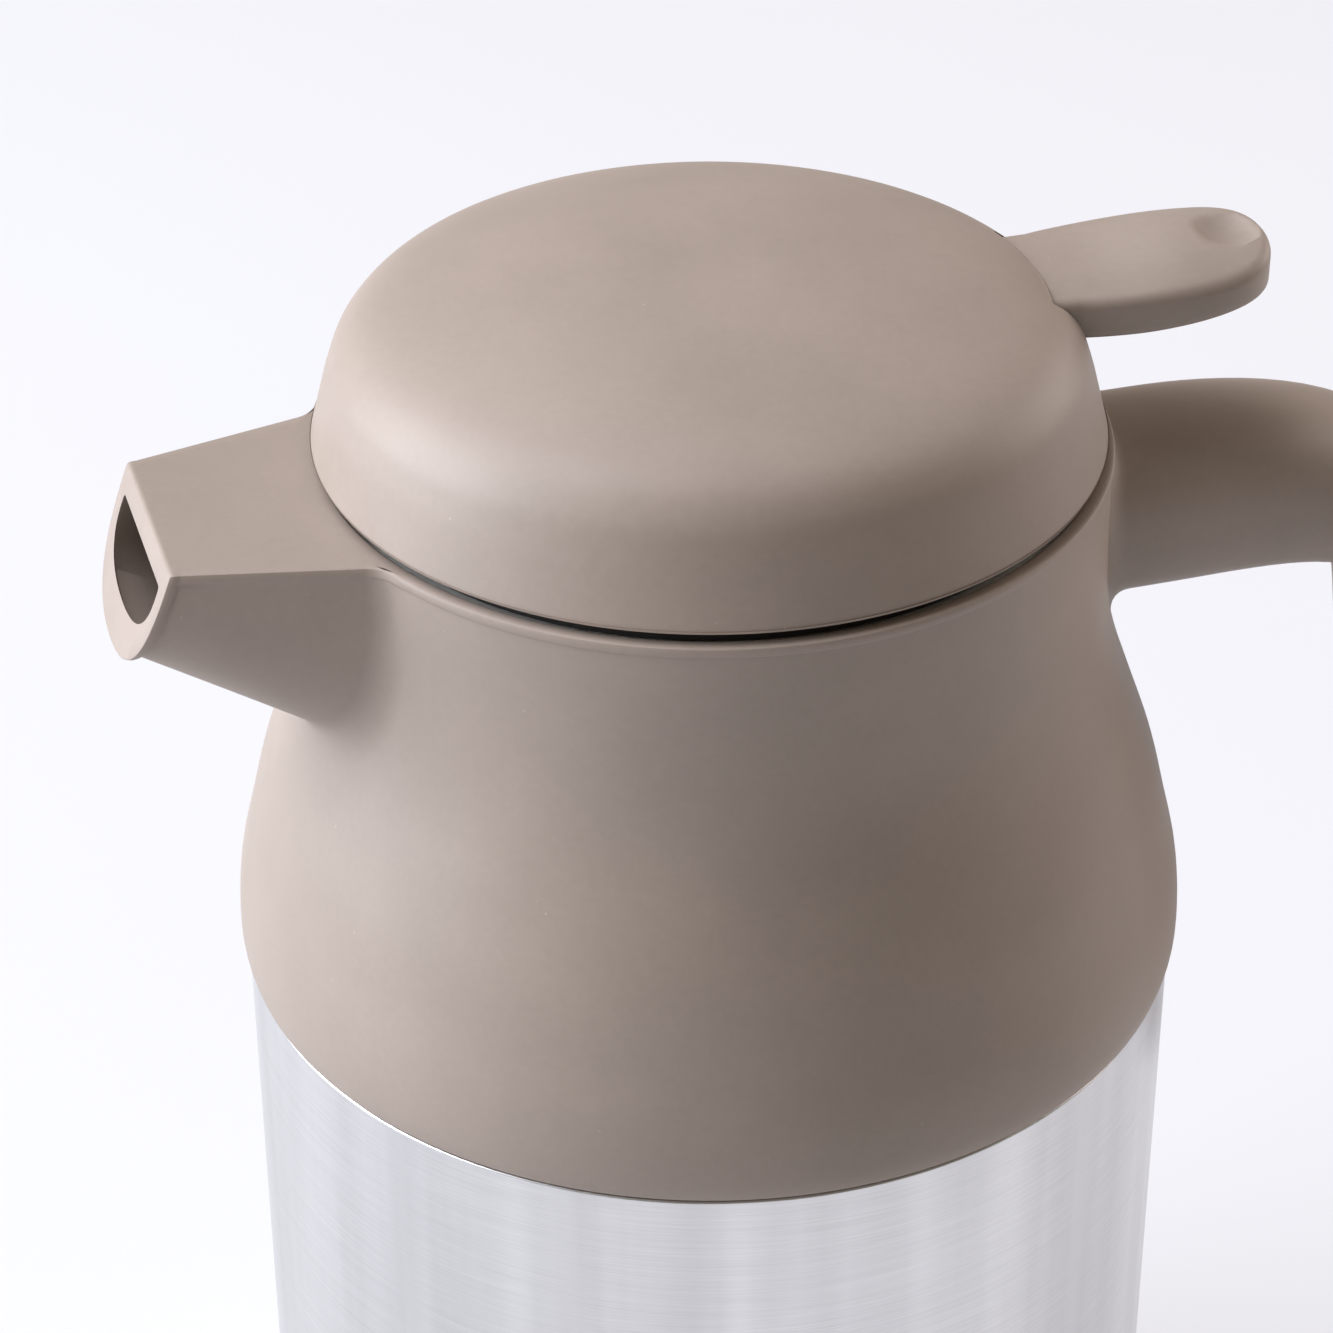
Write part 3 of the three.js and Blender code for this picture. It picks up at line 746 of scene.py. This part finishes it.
path_steps = 400
squareness = 0.77  # 1 would give an oval section, 0 a box
round_end = 0.93  # share of the handle's length where its round end starts
bend = [Vector(p) for p in ((0.06, arm_z), (0.0863, arm_z), (0.0944, 0.1713), (0.0963, 0.1535))]
grip = [Vector(p) for p in ((0.0963, 0.1535), (0.098, 0.1376), (0.1074, 0.1), (0.1076, 0.07))]
arm_path = even_path(
    [Vector((arm_root, arm_z))] + interpolate_bezier(*bend, 120) + interpolate_bezier(*grip, 200)[1:],
    path_steps,
)


def ease(value, low, high):
    """0 below low and 1 above high, with a soft start and end between them."""
    t = min(1, max(0, (value - low) / (high - low)))
    return t * t * (3 - 2 * t)


def handle_frame(u):
    """Middle, direction away from the fingers, half width and half thickness at share u."""
    place = u * path_steps
    i = min(int(place), path_steps - 1)
    middle = arm_path[i].lerp(arm_path[i + 1], place - i)
    before = arm_path[max(i - 2, 0)]
    after = arm_path[min(i + 3, path_steps)]
    along = (after - before).normalized()
    narrow, thin, taper = ease(u, 0.15, 0.6), ease(u, 0.08, 0.37), ease(u, 0.6, 1)
    half_width = 0.013 - 0.001 * narrow - 0.0016 * taper
    half = 0.011 - 0.0024 * thin - 0.0006 * taper
    return middle, Vector((-along.y, along.x)), half_width, half


def handle_ring(u, shrink=1.0, count=56):
    """Points round the handle at share u, on a rounded, slightly squared section."""
    middle, away, half_width, half = handle_frame(u)
    ring = []
    for i in range(count):
        c, s = cos(2 * pi * i / count), sin(2 * pi * i / count)
        across = shrink * half_width * abs(c) ** squareness * (1 if c > 0 else -1)
        reach = shrink * half * abs(s) ** squareness * (1 if s > 0 else -1)
        spot = middle + away * reach
        ring.append(Vector((spot.x, across, spot.y)))
    return ring


arm_ring = handle_ring(0)
arm_length = (arm_path[1] - arm_path[0]).length * path_steps
flare = 0.0032
root_rows = []
for point in arm_ring:
    touch = sqrt(neck_radius(point.z) ** 2 - point.y ** 2)
    corner = Vector((touch, point.y, point.z))
    angle = atan2(point.y, touch)
    lift = point.z - arm_z
    span = hypot(neck_radius(point.z) * angle, lift)
    grown = 1 + flare / span
    foot = on_wall(angle * grown, arm_z + lift * grown, lambda z: neck_radius(z) - 0.0001, 1)
    inner = on_wall(angle * 0.5, arm_z + lift * 0.5, lambda z: neck_radius(z) - 0.0002, 1)
    end = Vector((touch + flare, point.y, point.z))
    row = [on_wall(0, arm_z, lambda z: neck_radius(z) - 0.0002, 1), inner]
    row += interpolate_bezier(foot, foot.lerp(corner, 0.6), end.lerp(corner, 0.6), end, 8)
    root_rows.append(row)
handle_rings = [list(ring) for ring in zip(*root_rows)]
first_u = (collar_r + flare + 0.0015 - arm_root) / arm_length
handle_rings += [handle_ring(first_u + (round_end - first_u) * i / 54) for i in range(55)]
for i in range(1, 13):
    swing = pi / 2 * i / 12
    end_u = round_end + (1 - round_end) * sin(swing)
    handle_rings.append(handle_ring(end_u, max(cos(swing), 0.0001) ** 0.8))
handle = skin("handle_moulding", handle_rings)
merge(handle, reach=5e-6)


def strip_volume(name, grow, depth):
    """The strip that closes the handle on its finger side, with round ends."""
    low, high, end = 0.165 - grow / arm_length, 0.895 + grow / arm_length, 0.05
    rings = []
    for i in range(61):
        u = low + (high - low) * (1 - cos(pi * i / 60)) / 2
        reach = max(0, (low + end - u) / end, (u - high + end) / end)
        middle, away, half_width, half = handle_frame(u)
        w = (half_width - 0.0035 + grow) * max(0.02, sqrt(1 - min(1, reach) ** 2))
        ring = []
        low_edge, high_edge = -half - 0.003, depth - half
        for across, height in ((w, low_edge), (w, high_edge), (-w, high_edge), (-w, low_edge)):
            spot = middle + away * height
            ring.append(Vector((spot.x, across, spot.y)))
        rings.append(ring)
    volume = skin(name, rings)
    bpy.ops.object.mode_set(mode="EDIT")
    bpy.ops.mesh.select_all(action="SELECT")
    bpy.ops.mesh.remove_doubles(threshold=1e-6)
    bpy.ops.mesh.select_all(action="DESELECT")
    bpy.ops.mesh.select_non_manifold()
    bpy.ops.mesh.edge_face_add()
    bpy.ops.mesh.select_all(action="SELECT")
    bpy.ops.mesh.normals_make_consistent(inside=False)
    bpy.ops.object.mode_set(mode="OBJECT")
    return volume


def twin(piece, name):
    """A copy of a piece with its own mesh."""
    copy = piece.copy()
    copy.data = piece.data.copy()
    copy.name = copy.data.name = name
    bpy.context.scene.collection.objects.link(copy)
    return copy


def cylinder(r, length, place, direction, vertices=32):
    """A round bar with its middle at a place; used to cut and to join."""
    deselect()
    turn = Vector(direction).to_track_quat("Z", "Y")
    bpy.ops.mesh.primitive_cylinder_add(
        radius=r, depth=length, vertices=vertices, location=place, rotation=turn.to_euler()
    )
    made = bpy.context.object
    bpy.ops.object.transform_apply()
    return made


fixing_x = 0.054
cut_with(handle, cylinder(0.0033, 0.0026, (fixing_x, 0, 0.1678), (0, 0, 1), 40))
strip = strip_volume("handle_finger_strip", 0.0, 0.003)
cut_with(strip, twin(handle, "handle_core"), "INTERSECT")
cut_with(handle, strip_volume("handle_hollow", 0.00025, 0.012))


def screw(head_r, head, shank_r, shank):
    """An upright pan-head screw with a cross recess. The middle of its head's top is at the origin."""
    outline = [
        (0, 0), (head_r * 0.72, 0, 0.0002), (head_r, -head * 0.45, head * 0.3), (head_r, -head, 0.0001),
        (shank_r, -head), (shank_r, -head - shank + 0.0006), (0, -head - shank),
    ]
    made = turned("loose_screw", outline[::-1], sides=32, steps=3)
    arm, slit = head_r * 0.55, 0.00028
    cut_with(made, block((-arm, -slit, -head * 0.6), (arm, slit, head)))
    cut_with(made, block((-slit, -arm, -head * 0.6), (slit, arm, head)))
    return made


def drive(loose, node, body, place, direction):
    """Sets a copy of a screw for one CAD node, with its head's top at place facing direction."""
    made = twin(loose, node + "_steel")
    made.rotation_euler = Vector(direction).to_track_quat("Z", "Y").to_euler()
    made.location = place
    deselect()
    made.select_set(True)
    bpy.context.view_layer.objects.active = made
    bpy.ops.object.transform_apply()
    dress(made, bright_metal, body, "small_metal", node)


def plain_metal(name, roughness):
    """Bright stainless wire and screws, with faint draw marks."""
    material, start = new_material(name)
    marks = noise(start, 900, detail=3, roughness=0.7, stretch=(1, 1, 0.3))
    cloud = noise(start, 150, detail=2)
    shader = start.node(
        "BsdfPrincipled",
        {},
        {
            "Base Color": cloud.mix((0.6, 0.6, 0.61, 1), (0.7, 0.7, 0.71, 1)),
            "Metallic": 1.0,
            "Roughness": roughness + 0.12 * marks,
            "Normal": start.node("Bump", {}, {"Strength": 0.2, "Distance": 0.00003, "Height": marks}),
        },
    )
    finish_material(start, shader)
    return material


bright_metal = plain_metal("bright_metal", 0.2)
cover_screw = screw(head_r=0.0027, head=0.001, shank_r=0.00125, shank=0.0095)
for node, u in (("handle_cover_screw_upper", 0.34), ("handle_cover_screw_lower", 0.8)):
    middle, away, half_width, half = handle_frame(u)
    out = Vector((-away.x, 0, -away.y))
    face = Vector((middle.x, 0, middle.y)) + out * half
    cut_with(strip, cylinder(0.0031, 0.0036, face, out, 40))
    cut_with(strip, cylinder(0.0016, 0.02, face, out, 24))
    drive(cover_screw, node, "jug", face - out * 0.0004, out)
bpy.data.objects.remove(cover_screw)
soften(strip, 0.00025, 2, 50)
soften(handle, 0.00025, 2, 50)
dress(strip, taupe, "jug", "taupe_plastic", "handle_inner_cover")
dress(handle, taupe, "jug", "taupe_plastic", "handle_shell")
fixing_screw = screw(head_r=0.0029, head=0.002, shank_r=0.0012, shank=0.0075)
drive(fixing_screw, "handle_fixing_screw", "jug", (fixing_x, 0, 0.1667), (0, 0, -1))
bpy.data.objects.remove(fixing_screw)


# Stopper
# A dark plastic cup that plugs the steel neck. The valve seats in the hole in its foot, drink
# rises inside it and leaves through six windows at the height of the spout.
stopper_low, stopper_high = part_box("stopper_body")
foot = stopper_low.z
stopper_outline = [
    (0.011, foot, 0.0005), (0.025, foot, 0.0015), (0.03, foot + 0.0024, 0.0015),
    (0.0316, foot + 0.006, 0.001),
    (0.0316, 0.1592, 0.0003), (0.0296, 0.1592), (0.0296, 0.1658), (0.0316, 0.1658, 0.0003),
    (0.0316, 0.1864, 0.001), (0.0436, 0.1876, 0.0006), (0.0446, 0.1886, 0.0003), (0.0446, 0.1902, 0.0002),
    (0.043, 0.1902), (0.043, 0.1932), (0.0446, 0.1932, 0.0002), (0.0446, stopper_high.z, 0.0004),
    (0.041, stopper_high.z, 0.0004), (0.041, 0.1906, 0.0008), (0.0294, 0.189, 0.001),
    (0.0294, 0.168, 0.001), (0.0272, 0.1664, 0.001), (0.0272, 0.1546, 0.001),
    (0.0246, 0.1514, 0.001), (0.015, 0.1506, 0.0005),
    (0.011, 0.1496, 0.0005),
]
stopper = turned("stopper_cup", stopper_outline)
for i in range(3):
    window = block((-0.04, -0.0085, 0.1758), (0.04, 0.0085, 0.1854), 0.0018, 4)
    window.rotation_euler.z = radians(60 * i)
    cut_with(stopper, window)
dress(stopper, dark_plastic, "lid", "inner_plastic", "stopper_body")


# Stopper seals
# Two silicone rings sit in grooves of the cup: a double lip in the steel neck, and a flat lip
# above the windows that wipes the collar's bore.
neck_lip_outline = [
    (0.0299, 0.1595, 0.0003), (0.0314, 0.1595, 0.0004), (0.0327, 0.1606, 0.0003),
    (0.0317, 0.1625, 0.0003), (0.0325, 0.1646, 0.0003), (0.0314, 0.1655, 0.0004),
    (0.0299, 0.1655, 0.0003),
]
neck_seal = turned("stopper_neck_lip", neck_lip_outline, sides=120)
dress(neck_seal, silicone, "neck_seal", "silicone", "stopper_neck_seal")
flange_lip_outline = [
    (0.0433, 0.1905, 0.0002), (0.0449, 0.1905, 0.0003), (0.0462, 0.1912, 0.0003),
    (0.0462, 0.1922, 0.0003), (0.0449, 0.1929, 0.0003), (0.0433, 0.1929, 0.0002),
]
flange_seal = turned("stopper_flange_lip", flange_lip_outline, sides=120)
dress(flange_seal, silicone, "lid", "silicone", "stopper_flange_seal")


# Lid base plate
# A dark plate closes the cup and carries the lid. Two lugs hold the lever's pin, a tube guides the
# stem, and three screws from below hold the dome to it.
pivot = Vector((0.03, 0, 0.2045))
plate_outline = [
    (0.0025, 0.192, 0.0002), (0.005, 0.192, 0.0003), (0.005, 0.1958), (0.0388, 0.1958),
    (0.0388, 0.192, 0.0003), (0.0407, 0.192, 0.0003), (0.0407, 0.1958),
    (0.0446, 0.1958, 0.0003), (0.0446, 0.1968, 0.0003),
    (0.0438, 0.198, 0.0003), (0.006, 0.198), (0.005, 0.199, 0.0003), (0.0025, 0.199, 0.0002),
]
plate = turned("lid_plate", plate_outline, sides=120, steps=3)
for y in (-0.009, 0.009):
    cut_with(plate, block((0.026, y - 0.0015, 0.197), (0.034, y + 0.0015, pivot.z)), "UNION")
    cut_with(plate, cylinder(0.004, 0.003, (pivot.x, y, pivot.z), (0, 1, 0), 48), "UNION")
cut_with(plate, cylinder(0.0021, 0.03, pivot, (0, 1, 0), 32))
dome_screw_angles = [radians(60 + 120 * i) for i in range(3)]
dome_screws = [(0.035 * cos(angle), 0.035 * sin(angle)) for angle in dome_screw_angles]
for x, y in dome_screws:
    cut_with(plate, cylinder(0.0016, 0.01, (x, y, 0.197), (0, 0, 1), 32))
soften(plate, 0.0002, 2, 50)
dress(plate, dark_plastic, "lid", "inner_plastic", "lid_base_plate")


# Domed cover
# The low taupe dome of the lid, moulded as one thin shell. A slot in its back lets the lever out,
# and the lip hangs down close over the collar.
lid_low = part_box("dome_cover")[0].z
lid_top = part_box("dome_cover")[1].z
lid_r = 0.0476
dome_line = [
    (lid_r, lid_low), (0.0467, 0.1992), (0.0454, 0.204), (0.0438, 0.2078), (0.0404, 0.2109),
    (0.034, 0.2131), (0.024, 0.215), (0.012, 0.2162), (0, lid_top),
]
dome_outside = [Vector(p) for p in flowing(dome_line, 6)]
dome_wall = 0.0024
dome_inside = []
for p in reversed(dome_outside):
    thin = 1 - (p.x / lid_r) ** 6
    dome_inside.append((p.x * (1 - dome_wall / lid_r), p.y - dome_wall * thin))
dome_outline = [
    (lid_r - 0.0007, lid_low), (lid_r - 0.0002, lid_low + 0.0001), (lid_r + 0.00001, lid_low + 0.0005),
]
dome_outline += [tuple(p) for p in dome_outside[1:]] + dome_inside
dome = turned("lid_dome", dome_outline, sides=192)
slot_half = 0.0102
cut_with(dome, block((0.037, -slot_half, 0.2019), (0.055, slot_half, 0.2108), 0.0003))
soften(dome, 0.00035, 3, 50)
dress(dome, taupe, "lid", "taupe_plastic", "dome_cover")
dome_screw = screw(head_r=0.003, head=0.0016, shank_r=0.00125, shank=0.0105)
for i, (x, y) in enumerate(dome_screws):
    drive(dome_screw, f"dome_screw_{i + 1}", "lid", (x, y, 0.1939), (0, 0, -1))
bpy.data.objects.remove(dome_screw)


# Thumb lever
# A crowned paddle with a small dimple for the thumb. Inside the lid it turns on a steel pin, and
# a forked arm reaches forward under the cap of the valve's stem.
lever_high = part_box("thumb_lever")[1]
lever_tip = lever_high.x
rim_z = lever_high.z - 0.0004
paddle_low = rim_z - 0.0052
root_half = 0.0098
paddle_half = 0.0111
edge_r = 0.0013


def bezier(points, count):
    return [tuple(p) for p in interpolate_bezier(*(Vector(p) for p in points), count)]


lever_side = [(x, root_half) for x in (0.038, 0.0385, 0.04, 0.0415)]
widest = (0.056, paddle_half)
lever_side += bezier([(0.043, root_half), (0.0462, 0.0107), (0.0508, paddle_half), widest], 9)
lever_side += bezier([widest, (0.0652, paddle_half), (lever_tip, 0.008), (lever_tip, 0)], 30)[1:]


def edge_distance(x, y):
    """How far inside the lever's outline a point lies."""
    nearest = 1.0
    y = abs(y)
    for (x0, y0), (x1, y1) in zip(lever_side, lever_side[1:]):
        dx, dy = x1 - x0, y1 - y0
        t = min(1, max(0, ((x - x0) * dx + (y - y0) * dy) / (dx * dx + dy * dy)))
        nearest = min(nearest, hypot(x - x0 - t * dx, y - y0 - t * dy))
    return nearest


def round_over(distance, r):
    """How far a rounded edge falls away at a distance inside it."""
    inside = max(0, r - distance)
    return r - sqrt(max(0, r * r - inside * inside))


def paddle_top(x, y):
    """Height of the crowned top, with the thumb's dimple near its tip."""
    crown = 0.0005 + 0.0015 * ease(x, 0.046, 0.06)
    height = rim_z + crown * (1 - (y / paddle_half) ** 2)
    from_dimple = ((x - 0.0658) / 0.004) ** 2 + (y / 0.0043) ** 2
    return height - 0.0013 * max(0, 1 - from_dimple) ** 0.8 - round_over(edge_distance(x, y), edge_r)


def paddle_foot(x, y):
    """Height of the underside, which rises a little towards the tip."""
    thin = 0.0012 * ease(x, 0.05, lever_tip)
    return paddle_low + thin + round_over(edge_distance(x, y), edge_r)


across = 30
paddle_rings = []
for x, w in lever_side:
    spread = [w * sin(pi / 2 * (2 * i / across - 1)) for i in range(across + 1)]
    ring = [Vector((x, y, paddle_top(x, y))) for y in spread]
    ring += [Vector((x, y, paddle_foot(x, y))) for y in reversed(spread)]
    paddle_rings.append(ring)
middle_ring = [Vector((paddle_rings[0][0].x, 0, rim_z - 0.002))] * len(paddle_rings[0])
lever = skin("thumb_lever_paddle", [middle_ring] + paddle_rings)
merge(lever, reach=2e-6)
cut_with(lever, block((pivot.x, -0.007, 0.2016), (0.0402, 0.007, 0.2072), 0.0005), "UNION")
cut_with(lever, cylinder(0.0042, 0.014, pivot, (0, 1, 0), 48), "UNION")
cut_with(lever, block((0.006, -0.006, 0.1996), (pivot.x, 0.006, 0.2034), 0.0005), "UNION")
for side in (-1, 1):
    y = side * 0.0046
    tine = block((-0.003, y - 0.0014, 0.1996), (0.007, y + 0.0014, 0.2034), 0.0004)
    cut_with(lever, tine, "UNION")
cut_with(lever, cylinder(0.00225, 0.02, pivot, (0, 1, 0), 32))
dress(lever, taupe, "lever", "taupe_plastic", "thumb_lever")

pin = cylinder(0.002, 0.021, pivot, (0, 1, 0), 32)
pin.name = pin.data.name = "lever_pin_steel"
soften(pin, 0.0003, 3)
dress(pin, bright_metal, "lid", "small_metal", "lever_pin")


# Valve
# A steel stem hangs from a cap that the lever lifts. Below, a plug clamps a silicone disc that
# shuts the hole in the stopper's foot, and a coil spring on a washer pulls it closed again.
stem_outline = [
    (0, 0.1542), (0.0034, 0.1542, 0.0003), (0.0034, 0.1556, 0.0003), (0.002, 0.1556),
    (0.002, 0.2042, 0.0004), (0, 0.2042),
]
stem = turned("valve_stem_steel", stem_outline, sides=32)
dress(stem, bright_metal, "valve", "small_metal", "valve_stem")
cap_outline = [
    (0, 0.2045), (0.0014, 0.2045), (0.0068, 0.2045, 0.0004), (0.0068, 0.2056, 0.0004),
    (0.0054, 0.207, 0.0006), (0, 0.207),
]
cap = turned("stem_cap_moulding", cap_outline, sides=48)
dress(cap, dark_plastic, "valve", "inner_plastic", "stem_cap")
washer_outline = [
    (0.0022, 0.177, 0.0002), (0.0074, 0.177, 0.0003), (0.0074, 0.1781, 0.0003), (0.0022, 0.1781, 0.0002),
]
washer = turned("spring_washer_steel", washer_outline, sides=48)
dress(washer, bright_metal, "valve", "small_metal", "spring_washer")
plug_outline = [
    (0.0022, 0.1516), (0.013, 0.1516, 0.0004), (0.013, 0.1532, 0.0004), (0.004, 0.1539, 0.0004),
    (0.0022, 0.1539, 0.0002),
]
plug = turned("valve_plug_moulding", plug_outline, sides=72)
dress(plug, dark_plastic, "valve", "inner_plastic", "valve_plug")
valve_seal_outline = [
    (0.0024, 0.1502, 0.0002), (0.0106, 0.1502, 0.0005), (0.012, 0.1509, 0.0003),
    (0.0142, 0.1509, 0.0001), (0.0142, 0.1513, 0.0001), (0.0024, 0.1513),
]
valve_seal = turned("valve_seal_disc", valve_seal_outline, sides=72)
dress(valve_seal, silicone, "valve", "silicone", "valve_seal")

spring_low, spring_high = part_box("valve_spring")
coils = 5
wire_r = 0.0005
coil_r = 0.0054
deselect()
bpy.ops.mesh.primitive_circle_add(
    vertices=12, radius=wire_r, location=(coil_r, 0, spring_low.z + wire_r), rotation=(pi / 2, 0, 0)
)
spring = bpy.context.object
spring.name = spring.data.name = "valve_spring_wire"
bpy.ops.object.transform_apply()
wind = spring.modifiers.new("wind", "SCREW")
wind.axis = "Z"
wind.angle = 2 * pi
wind.iterations = coils
wind.screw_offset = (spring_high.z - spring_low.z - 2 * wire_r) / coils
wind.steps = wind.render_steps = 36
bpy.ops.object.modifier_apply(modifier=wind.name)
bpy.ops.object.mode_set(mode="EDIT")
bpy.ops.mesh.select_mode(type="VERT")
bpy.ops.mesh.select_all(action="DESELECT")
bpy.ops.mesh.select_non_manifold()
bpy.ops.mesh.edge_face_add()
bpy.ops.mesh.select_all(action="SELECT")
bpy.ops.mesh.normals_make_consistent(inside=False)
bpy.ops.object.mode_set(mode="OBJECT")
smooth(spring, 50)
dress(spring, bright_metal, "lid", "small_metal", "valve_spring")
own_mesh(spring)
